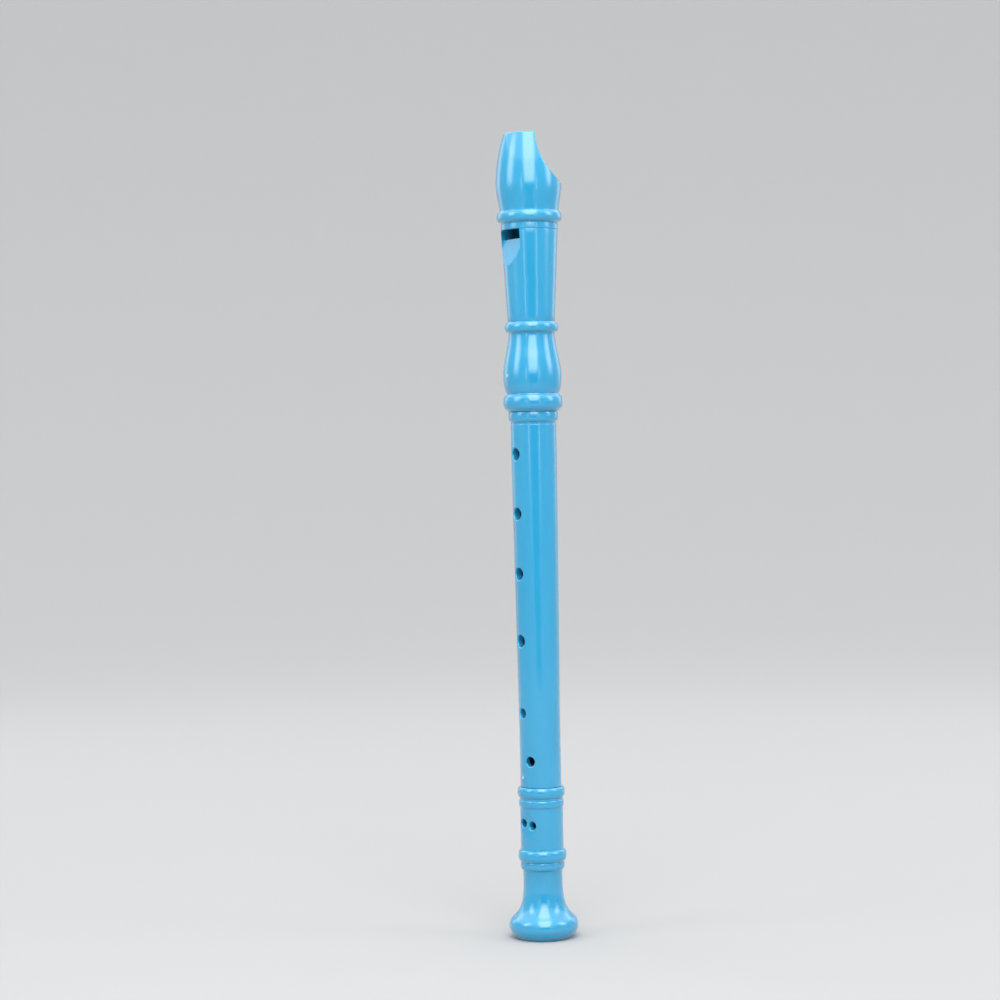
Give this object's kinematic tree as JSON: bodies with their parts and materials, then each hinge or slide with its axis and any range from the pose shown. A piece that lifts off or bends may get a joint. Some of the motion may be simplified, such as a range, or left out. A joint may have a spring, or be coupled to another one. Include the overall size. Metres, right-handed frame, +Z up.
{
  "type": "soprano recorder",
  "caption": "Toy or school soprano recorder in glossy light blue plastic: beak with a curved cut, window, ringed head, straight tube with finger holes, and a foot that ends in a bell.",
  "frame": {"origin": "centre of the bell end's flat rim, on the surface that the recorder stands on", "axes": "+Z runs up the bore from the bell to the beak's tip; the window and the finger holes face -Y, and the thumb hole faces +Y"},
  "size_m": [0.026, 0.026, 0.3],
  "materials": {
    "mouthpiece_plastic": "glossy moulded",
    "block_plastic": "glossy moulded",
    "head_plastic": "glossy moulded",
    "middle_plastic": "glossy moulded",
    "foot_plastic": "glossy moulded"
  },
  "bodies": {
    "middle": {"middle_joint": "middle_plastic"},
    "head": {"head_joint": "head_plastic", "mouthpiece": "mouthpiece_plastic", "fipple_block": "block_plastic"},
    "foot": {"foot_joint": "foot_plastic"}
  },
  "joints": [
    {"name": "head_slide", "type": "slide", "parent": "middle", "child": "head", "axis": [0, 0, 1], "range_m": [0, 0.018]},
    {"name": "foot_twist", "type": "hinge", "parent": "middle", "child": "foot", "pos_m": [0, 0, 0.0515], "axis": [0, 0, 1], "continuous": true}
  ]
}
